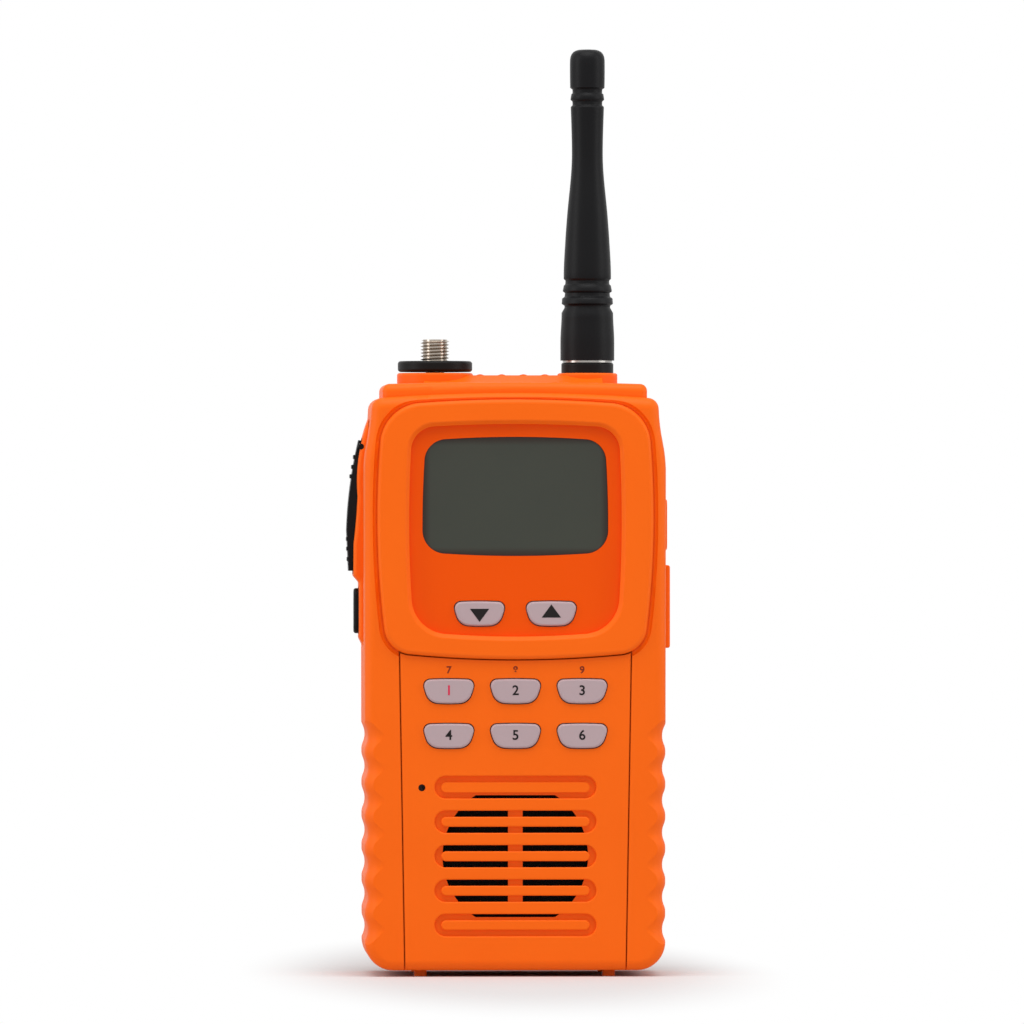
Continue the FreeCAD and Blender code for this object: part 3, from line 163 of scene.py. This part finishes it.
class Finish:
    """One material, with its shader's fixed values and whatever varies over the surface."""

    def __init__(self, name, **fixed):
        self.material = bpy.data.materials.new(name)
        self.material.use_nodes = True
        self.tree = self.material.node_tree
        self.shader = self.tree.nodes["Principled BSDF"]
        for key, value in fixed.items():
            self.shader.inputs[key.replace("_", " ")].default_value = value
        self.place = self.node("ShaderNodeTexCoord", {}, {}, "Object")

    def node(self, kind, settings, inputs, output=0):
        """Adds a node, with its settings first and then its sockets, and gives one of its outputs."""
        node = self.tree.nodes.new(kind)
        for key, value in settings.items():
            if key == "stops":
                self.set_stops(node.color_ramp, value)
            else:
                setattr(node, key, value)
        for key, value in inputs.items():
            if isinstance(value, Level):
                self.tree.links.new(value.socket, node.inputs[key])
            else:
                node.inputs[key].default_value = value
        return Level(self, node.outputs[output])

    def set_stops(self, ramp, stops):
        """Gives a colour ramp its stops, as (place, colour) pairs."""
        while len(ramp.elements) < len(stops):
            ramp.elements.new(1.0)
        for element, (place, colour) in zip(ramp.elements, stops):
            element.position = place
            element.color = colour

    def noise(self, per_metre, detail=2.0, roughness=0.5):
        """Noise with this many cells to the metre."""
        return self.node("ShaderNodeTexNoise", {}, {
            "Vector": self.place, "Scale": per_metre, "Detail": detail, "Roughness": roughness})

    def place_part(self, axis):
        """One of the object coordinates, in metres."""
        return self.node("ShaderNodeSeparateXYZ", {}, {0: self.place}, "XYZ".index(axis))

    def ramp(self, value, start, end):
        """Goes smoothly from 0 to 1 while the value goes from start to end."""
        return self.node("ShaderNodeMapRange", {"interpolation_type": "SMOOTHSTEP"}, {
            "Value": value, "From Min": start, "From Max": end})

    def larger(self, first, second):
        """The larger one of two values."""
        return self.node("ShaderNodeMath", {"operation": "MAXIMUM"}, {0: first, 1: second})

    def wave(self, value, period):
        """Goes up and down between 0 and 1 with this period."""
        turn = self.node("ShaderNodeMath", {"operation": "SINE"}, {0: value * (2 * math.pi / period)})
        return turn * 0.5 + 0.5

    def between(self, mask, low, high):
        """A colour that goes from one to the other with the mask."""
        return self.node("ShaderNodeMix", {"data_type": "RGBA"}, {0: mask, 6: low, 7: high}, 2)

    def spread(self, value, low, high):
        """A value from 0 to 1 moved to another range."""
        return value * (high - low) + low

    def feed(self, socket, value):
        """Links a value to the shader."""
        self.tree.links.new(value.socket, self.shader.inputs[socket])

    def bump(self, height, depth):
        """Gives the surface a relief of this depth in metres."""
        normal = self.node("ShaderNodeBump", {}, {"Strength": 1.0, "Distance": depth, "Height": height})
        self.feed("Normal", normal)


def colour(red, green, blue):
    """A colour written as it looks, from 0 to 255, as the shader takes it."""
    def linear(value):
        value = value / 255.0
        return value / 12.92 if value <= 0.04045 else ((value + 0.055) / 1.055) ** 2.4
    return (linear(red), linear(green), linear(blue), 1.0)


# Finishes

def grained_plastic(name, low, high, grain, relief, rough_low, rough_high, **fixed):
    """Moulded plastic: soft drifts of colour, and a fine spark-eroded grain."""
    finish = Finish(name, **fixed)
    drift = finish.noise(45.0, 3.0)
    finish.feed("Base Color", finish.between(drift, low, high))
    fine = finish.noise(grain, 3.0, 0.6)
    finish.feed("Roughness", finish.spread(fine, rough_low, rough_high))
    finish.bump(fine, relief)
    return finish


def window_finish():
    """Glossy grey window, with painted shade along its border: darker and browner there, standing in for the
    shadow of the recess rim.
    """
    finish = Finish("display_window", Specular_IOR_Level=0.3)
    across = finish.place_part("X")
    height = finish.place_part("Z") - window_middle
    # Masks for the painted shade along the window's border
    side = finish.ramp(abs(across), window_half_width - window_shade, window_half_width)
    end = finish.ramp(abs(height), window_half_height - window_shade, window_half_height)
    painted_rim_shade = finish.larger(side, end)
    cloud = finish.noise(60.0, 2.0)
    glass = finish.between(cloud, colour(53, 56, 48), colour(59, 62, 53))
    # Painted shade: the border is mixed towards a dark brown, standing in for the shadow that the recess rim
    # casts
    finish.feed("Base Color", finish.between(painted_rim_shade, glass, colour(46, 36, 28)))
    finish.feed("Roughness", finish.spread(cloud, 0.1, 0.16))
    finish.bump(cloud, 0.002 * MM)
    return finish


def cloth_finish():
    """Black speaker cloth: a plain weave of fine threads."""
    finish = Finish("speaker_cloth", Specular_IOR_Level=0.2)
    warp = finish.wave(finish.place_part("X"), 0.5 * MM)
    weft = finish.wave(finish.place_part("Z"), 0.5 * MM)
    threads = warp * weft
    fluff = finish.noise(3000.0, 3.0)
    finish.feed("Base Color", finish.between(threads, colour(10, 10, 10), colour(30, 28, 28)))
    finish.feed("Roughness", finish.spread(fluff, 0.8, 0.95))
    finish.bump(threads, 0.15 * MM)
    return finish


def turned_metal(name, low, high, lathe_pitch, rough_low, rough_high, **fixed):
    """Plated metal with the fine rings that a lathe leaves."""
    finish = Finish(name, Metallic=1.0, **fixed)
    rings = finish.wave(finish.place_part("Z"), lathe_pitch)
    blotch = finish.noise(900.0, 3.0)
    finish.feed("Base Color", finish.between(blotch, low, high))
    finish.feed("Roughness", finish.spread(blotch, rough_low, rough_high))
    finish.bump(rings, 0.004 * MM)
    return finish


def board_finish():
    """Green circuit board: solder mask over copper runs and ground areas."""
    finish = Finish("circuit_board", Specular_IOR_Level=0.4)
    copper = finish.node("ShaderNodeTexBrick", {"offset": 0.35, "squash": 0.6}, {
        "Vector": finish.place, "Scale": 260.0, "Mortar Size": 0.12, "Mortar Smooth": 0.1,
        "Color1": (1, 1, 1, 1), "Color2": (0.7, 0.7, 0.7, 1), "Mortar": (0, 0, 0, 1)}, 1)
    fine = finish.noise(1500.0, 2.0)
    finish.feed("Base Color", finish.between(copper, colour(22, 104, 52), colour(12, 78, 38)))
    finish.feed("Roughness", finish.spread(fine, 0.3, 0.4))
    finish.bump(copper, 0.02 * MM)
    return finish


def make_finishes():
    """Every finish, by the record's slot name."""
    return {
        "case_orange": grained_plastic(
            "moulded_orange", colour(245, 100, 3), colour(250, 106, 7), 5200.0, 0.02 * MM, 0.4, 0.52,
            Specular_IOR_Level=0.16),
        "panel_orange": grained_plastic(
            "glossy_orange", colour(235, 79, 0), colour(241, 84, 2), 2600.0, 0.006 * MM, 0.2, 0.3,
            Specular_IOR_Level=0.1),
        "window_grey": window_finish(),
        "lcd_grey": grained_plastic(
            "display_module", colour(90, 100, 84), colour(96, 104, 90), 900.0, 0.003 * MM, 0.3, 0.4),
        "key_grey": grained_plastic(
            "pale_keys", colour(176, 154, 158), colour(182, 161, 164), 3000.0, 0.008 * MM, 0.4, 0.55,
            Specular_IOR_Level=0.3),
        "mat_grey": grained_plastic(
            "silicone_mat", colour(150, 150, 152), colour(160, 160, 160), 1500.0, 0.01 * MM, 0.5, 0.6),
        "board_green": board_finish(),
        "spring_steel": turned_metal(
            "spring_steel", colour(190, 190, 188), colour(204, 204, 202), 0.11 * MM, 0.22, 0.34),
        "black_plastic": grained_plastic(
            "black_plastic", colour(10, 9, 9), colour(14, 13, 12), 4200.0, 0.02 * MM, 0.36, 0.5,
            Specular_IOR_Level=0.15),
        "black_rubber": grained_plastic(
            "black_rubber", colour(9, 9, 11), colour(13, 13, 15), 3800.0, 0.02 * MM, 0.36, 0.5,
            Specular_IOR_Level=0.15),
        "speaker_paper": grained_plastic(
            "speaker_paper", colour(40, 40, 40), colour(52, 52, 50), 2200.0, 0.05 * MM, 0.7, 0.9),
        "magnet_grey": grained_plastic(
            "magnet", colour(70, 70, 72), colour(84, 84, 86), 1500.0, 0.02 * MM, 0.4, 0.6, Metallic=0.6),
        "black_cloth": cloth_finish(),
        "seal_rubber": grained_plastic(
            "seal_rubber", colour(44, 44, 46), colour(54, 54, 56), 1500.0, 0.01 * MM, 0.5, 0.65),
        "nickel_stud": turned_metal(
            "nickel", colour(176, 164, 152), colour(196, 186, 174), 0.09 * MM, 0.18, 0.3),
        "nickel_ring": turned_metal(
            "bright_nickel", colour(166, 163, 158), colour(180, 177, 172), 0.07 * MM, 0.12, 0.2),
        "brass": turned_metal(
            "brass", colour(214, 176, 96), colour(226, 190, 112), 0.1 * MM, 0.2, 0.32),
        # Dark capsule metal: its colour is darkened so that it stands in for the shade inside the microphone
        # hole
        "mic_metal": turned_metal(
            "capsule_metal_darkened_as_hole_shade", colour(62, 58, 57), colour(76, 72, 70), 0.13 * MM, 0.3, 0.4),
        "cell_foil": grained_plastic(
            "cell_foil", colour(176, 178, 182), colour(190, 192, 196), 700.0, 0.05 * MM, 0.3, 0.45,
            Metallic=0.9),
    }


def make_inks():
    """The printing inks of the keys and the lower panel."""
    return {
        "black": grained_plastic(
            "black_ink", colour(20, 16, 16), colour(26, 21, 21), 2000.0, 0.004 * MM, 0.5, 0.6,
            Specular_IOR_Level=0.2),
        "magenta": grained_plastic(
            "magenta_ink", colour(206, 30, 70), colour(214, 38, 78), 2000.0, 0.004 * MM, 0.5, 0.6,
            Specular_IOR_Level=0.2),
        "brown": grained_plastic(
            "brown_ink", colour(120, 36, 14), colour(130, 42, 18), 2000.0, 0.004 * MM, 0.5, 0.6,
            Specular_IOR_Level=0.2),
    }


def dress_nodes(finishes):
    """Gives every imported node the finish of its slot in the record, and the lever's pin a black one."""
    for part in frame["record"]["subparts"]:
        node = frame["nodes"][part["node"]]
        for slot in node.material_slots:
            slot.material = finishes[part["material_slot"]].material
    for slot in frame["nodes"]["lever_pin"].material_slots:
        slot.material = finishes["black_plastic"].material


# Pieces made here

def start_piece():
    """Deselects everything, so that an operator acts on the new piece alone."""
    bpy.ops.object.select_all(action="DESELECT")


def end_piece(name, finish, body, slot, *replaced):
    """Names the active piece, puts its place in its mesh, and gives it its finish and body."""
    piece = bpy.context.object
    piece.name = name
    bpy.ops.object.transform_apply(location=True, rotation=True, scale=True)
    piece.data.materials.clear()
    piece.data.materials.append(finish.material)
    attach(piece, body)
    for node in replaced:
        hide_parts(node)
    return piece


def leave_edit():
    """Back to object mode."""
    bpy.ops.object.mode_set(mode="OBJECT")


def apply_modifier(kind, **settings):
    """Adds a modifier to the active piece and applies it."""
    piece = bpy.context.object
    modifier = piece.modifiers.new(kind.lower(), kind)
    for key, value in settings.items():
        setattr(modifier, key, value)
    bpy.ops.object.modifier_apply(modifier=modifier.name)


def copy_of(node):
    """A copy of a solid's mesh, with its loose triangles merged to whole faces."""
    start_piece()
    piece = bpy.data.objects.new(node, frame["nodes"][node].data.copy())
    bpy.context.scene.collection.objects.link(piece)
    bpy.context.view_layer.objects.active = piece
    piece.select_set(True)
    bpy.ops.object.mode_set(mode="EDIT")
    bpy.ops.mesh.select_all(action="SELECT")
    bpy.ops.mesh.remove_doubles(threshold=0.001 * MM)
    bpy.ops.mesh.dissolve_limited(angle_limit=math.radians(0.5))
    leave_edit()
    return piece


def print_numeral(name, text, size, x, y, z, finish, body, slot):
    """A printed numeral on a front face."""
    start_piece()
    bpy.ops.object.text_add()
    letter = bpy.context.object
    letter.data.body = text
    letter.data.size = size
    letter.data.align_x = "CENTER"
    letter.data.align_y = "CENTER"
    letter.data.extrude = print_depth
    letter.data.offset = numeral_weight
    bpy.ops.object.convert(target="MESH")
    letter = bpy.context.object
    letter.rotation_euler = (math.pi / 2, 0, 0)
    letter.location = (x, y, z)
    end_piece(name, finish, body, slot)


def print_triangle(name, x, y, z, turn, finish, body):
    """A printed triangle on an arrow key, its point up or down."""
    start_piece()
    bpy.ops.mesh.primitive_circle_add(vertices=3, radius=1.0, fill_type="NGON")
    triangle = bpy.context.object
    triangle.scale = (triangle_width / math.sqrt(3.0), triangle_height / 1.5, 1.0)
    triangle.rotation_euler = (math.pi / 2, turn, 0)
    triangle.location = (x, y + print_depth, z)
    bpy.ops.object.transform_apply(location=True, rotation=True, scale=True)
    bpy.ops.object.mode_set(mode="EDIT")
    bpy.ops.mesh.select_all(action="SELECT")
    bpy.ops.mesh.extrude_region_move(TRANSFORM_OT_translate={"value": (0, -2 * print_depth, 0)})
    bpy.ops.mesh.select_all(action="SELECT")
    bpy.ops.mesh.normals_make_consistent(inside=False)
    leave_edit()
    end_piece(name, finish, body, "key_grey")


def print_keys(inks):
    """Prints on the eight keys, and a small numeral over each upper one."""
    for node, x, turn in (("key_down", -arrow_column, math.pi), ("key_up", arrow_column, 0.0)):
        print_triangle("print_on_" + node, x, arrow_face, arrow_height, turn, inks["black"], node)
    number = 1
    for z in key_rows:
        for column in (-1, 0, 1):
            node = "key_%d" % number
            x = column * key_column
            ink = inks["magenta"] if number == 1 else inks["black"]
            print_numeral("print_on_" + node, str(number), numeral_size, x, key_face, z, ink, node,
                          "key_grey")
            if z == key_rows[0]:
                print_numeral("print_over_" + node, str(number + 6), small_numeral_size, x, panel_face,
                              z + small_numeral_rise, inks["brown"], "case", "case_orange")
            number += 1


def make_threaded_stud(finish):
    """The dial's spindle: a helical thread above the dial, and a plain shaft below."""
    depth = stud_crest_r - stud_root_r
    start_piece()
    bpy.ops.mesh.primitive_circle_add(
        vertices=4, radius=1.0, fill_type="NOTHING", location=(dial_x, top_parts_y, 0))
    bpy.ops.object.mode_set(mode="EDIT")
    bpy.ops.mesh.select_all(action="SELECT")
    bpy.ops.transform.rotate(value=math.pi / 2, orient_axis="X", center_override=(dial_x, top_parts_y, 0))
    bpy.ops.transform.resize(
        value=(2 * depth, 1, stud_pitch * thread_fill), center_override=(dial_x, top_parts_y, 0))
    bpy.ops.transform.translate(value=(stud_crest_r - 2 * depth, 0, stud_foot - 2 * stud_pitch))
    leave_edit()
    turns = int((stud_top - stud_foot) / stud_pitch) + 4
    apply_modifier("SCREW", axis="Z", angle=2 * math.pi, screw_offset=stud_pitch, iterations=turns,
                   steps=thread_steps, render_steps=thread_steps, use_normal_calculate=True)
    thread = bpy.context.object
    for height, up in ((stud_top - thread_runout, 1), (stud_foot - thread_overlap, -1)):
        bpy.ops.object.mode_set(mode="EDIT")
        bpy.ops.mesh.select_all(action="SELECT")
        bpy.ops.mesh.bisect(plane_co=(dial_x, top_parts_y, height), plane_no=(0, 0, up), use_fill=True,
                            clear_outer=True)
        leave_edit()
    start_piece()
    core_length = stud_top - stud_foot + thread_overlap
    bpy.ops.mesh.primitive_cylinder_add(
        vertices=core_corners, radius=stud_root_r, depth=core_length,
        location=(dial_x, top_parts_y, stud_top - core_length / 2))
    core = bpy.context.object
    core.select_set(True)
    thread.select_set(True)
    bpy.context.view_layer.objects.active = core
    bpy.ops.object.join()
    stud = bpy.context.object
    start_piece()
    bpy.ops.mesh.primitive_cylinder_add(
        vertices=shaft_corners, radius=shaft_r, depth=stud_foot - shaft_foot,
        location=(dial_x, top_parts_y, (stud_foot + shaft_foot) / 2))
    stud.select_set(True)
    bpy.context.view_layer.objects.active = stud
    bpy.ops.object.join()
    bpy.ops.object.shade_smooth_by_angle(angle=math.radians(35))
    end_piece("threaded_stud", finish, "dial", "nickel_stud", "dial_spindle")


def sleeve_radius(height):
    """The aerial sleeve's radius at a height over its foot, in millimetres, without its grooves."""
    radius = sleeve_foot_r
    for start, end, change in sleeve_steps:
        share = min(max((height - start) / (end - start), 0.0), 1.0)
        radius += change * share * share * (3 - 2 * share)
    return radius


def groove_depth(height):
    """How far the nearest groove draws in the sleeve at this height, in millimetres."""
    deepest = 0.0
    for middle, depth in sleeve_grooves:
        share = max(1.0 - abs(height - middle) / groove_half_width, 0.0)
        deepest = max(deepest, depth * min(share * groove_steepness, 1.0))
    return deepest


def make_aerial_sleeve(finish):
    """The rubber sleeve: drawn up from its foot ring by ring, with grooves, a waist and a domed tip."""
    start_piece()
    total = (whip_top - whip_foot) / MM
    bpy.ops.mesh.primitive_circle_add(
        vertices=whip_corners, radius=sleeve_radius(0) * MM, fill_type="NGON",
        location=(aerial_x, top_parts_y, whip_foot))
    bpy.ops.object.mode_set(mode="EDIT")
    bpy.ops.mesh.select_all(action="SELECT")
    heights = [first_ring]
    while heights[-1] < total - dome_height:
        here = heights[-1]
        near_groove = groove_depth(here + groove_lookahead) > 0 or groove_depth(here) > 0
        heights.append(here + (groove_ring_gap if near_groove else plain_ring_gap))
    rings = [(h, sleeve_radius(h) - groove_depth(h)) for h in heights if h < total - dome_height]
    rings += [(total - drop, share * dome_r) for drop, share in dome_rings]
    level, radius = 0.0, sleeve_radius(0)
    for height, wanted in rings:
        bpy.ops.mesh.extrude_region_move(TRANSFORM_OT_translate={"value": (0, 0, (height - level) * MM)})
        scale = wanted / radius
        bpy.ops.transform.resize(
            value=(scale, scale, 1), center_override=(aerial_x, top_parts_y, whip_foot + height * MM))
        level, radius = height, wanted
    bpy.ops.mesh.select_all(action="SELECT")
    bpy.ops.mesh.normals_make_consistent(inside=False)
    leave_edit()
    bpy.ops.object.shade_smooth_by_angle(angle=math.radians(50))
    end_piece("aerial_sleeve", finish, "aerial", "black_rubber", "aerial_whip")


def soften_edges(node, body, slot, width, finishes):
    """A copy of a solid with its sharp edges rounded."""
    copy_of(node)
    apply_modifier("BEVEL", width=width, segments=3, limit_method="ANGLE", angle_limit=math.radians(35),
                   harden_normals=False)
    bpy.ops.object.shade_smooth_by_angle(angle=math.radians(40))
    end_piece("soft_" + node, finishes[slot], body, slot, node)


# Stage

def make_stage():
    """A pale floor that keeps the radio's shadow and fades to white further out."""
    start_piece()
    bpy.ops.mesh.primitive_plane_add(size=floor_size)
    floor = bpy.context.object
    floor.name = "floor"
    finish = Finish("floor", Roughness=0.9, Specular_IOR_Level=0.0)
    grain = finish.noise(40.0, 2.0)
    finish.feed("Base Color", finish.between(grain, (floor_tone * floor_warmth, floor_tone, floor_tone, 1),
                                             (floor_tone * floor_warmth, floor_tone * 1.005, floor_tone, 1)))
    tree = finish.tree
    narrowed = finish.node("ShaderNodeVectorMath", {"operation": "MULTIPLY"}, {
        0: finish.place, 1: (floor_narrowing, 1.0, 1.0)})
    reach = finish.node("ShaderNodeVectorMath", {"operation": "LENGTH"}, {0: narrowed}, "Value")
    far = finish.ramp(reach, floor_near, floor_far)
    seen = finish.node("ShaderNodeLightPath", {}, {}, "Is Camera Ray")
    white = finish.node("ShaderNodeEmission", {}, {"Color": (1, 1, 1, 1), "Strength": 1.0})
    lit = Level(finish, finish.shader.outputs[0])
    mixed = finish.node("ShaderNodeMixShader", {}, {0: far * seen, 1: lit, 2: white})
    tree.links.new(mixed.socket, tree.nodes["Material Output"].inputs["Surface"])
    floor.data.materials.append(finish.material)


def make_world():
    """An even pale world that the camera and the glossy surfaces see as white."""
    world = bpy.data.worlds.new("studio")
    bpy.context.scene.world = world
    world.use_nodes = True
    tree = world.node_tree
    background = tree.nodes["Background"]
    path = tree.nodes.new("ShaderNodeLightPath")
    strength = tree.nodes.new("ShaderNodeMapRange")
    strength.inputs["To Min"].default_value = world_light
    strength.inputs["To Max"].default_value = 1.0
    ray = path.outputs["Is Camera Ray"]
    for name in ("Is Glossy Ray", "Is Transmission Ray"):
        either = tree.nodes.new("ShaderNodeMath")
        either.operation = "MAXIMUM"
        tree.links.new(ray, either.inputs[0])
        tree.links.new(path.outputs[name], either.inputs[1])
        ray = either.outputs[0]
    tree.links.new(ray, strength.inputs["Value"])
    tree.links.new(strength.outputs["Result"], background.inputs["Strength"])
    background.inputs["Color"].default_value = (1, 1, 1, 1)


def soft_box(name, place, size, power):
    """A square lamp that faces the radio."""
    lamp = bpy.data.lights.new(name, "AREA")
    lamp.shape = "RECTANGLE"
    lamp.size, lamp.size_y = size
    lamp.energy = power
    holder = bpy.data.objects.new(name, lamp)
    holder.location = place
    holder.rotation_euler = (Vector(lamp_aim) - Vector(place)).to_track_quat("-Z", "Y").to_euler()
    bpy.context.scene.collection.objects.link(holder)


def make_lights():
    """A large lamp above and in front, and a strip at each side."""
    soft_box("top_lamp", (0.0, -0.35, 0.95), (0.9, 0.7), 5.7)
    soft_box("left_strip", (-0.8, -0.25, 0.35), (0.25, 0.8), 2.0)
    soft_box("right_strip", (0.8, -0.25, 0.35), (0.25, 0.8), 1.6)


def make_camera():
    """The camera, level and a little to the left, as in the photograph."""
    lens = bpy.data.cameras.new("camera")
    lens.sensor_width = sensor_width
    lens.lens = sensor_width * camera_distance / view_width
    lens.clip_start = 0.05
    holder = bpy.data.objects.new("camera", lens)
    holder.location = (
        camera_distance * math.sin(camera_turn), -camera_distance * math.cos(camera_turn), camera_height)
    holder.rotation_euler = (math.pi / 2, 0, camera_turn)
    bpy.context.scene.collection.objects.link(holder)
    bpy.context.scene.camera = holder


finishes = make_finishes()
dress_nodes(finishes)
print_keys(make_inks())
make_threaded_stud(finishes["nickel_stud"])
make_aerial_sleeve(finishes["black_rubber"])
soften_edges("talk_lever", "talk_lever", "black_rubber", 0.15 * MM, finishes)
make_stage()
make_world()
make_lights()
make_camera()
bpy.context.scene.view_settings.view_transform = "Standard"
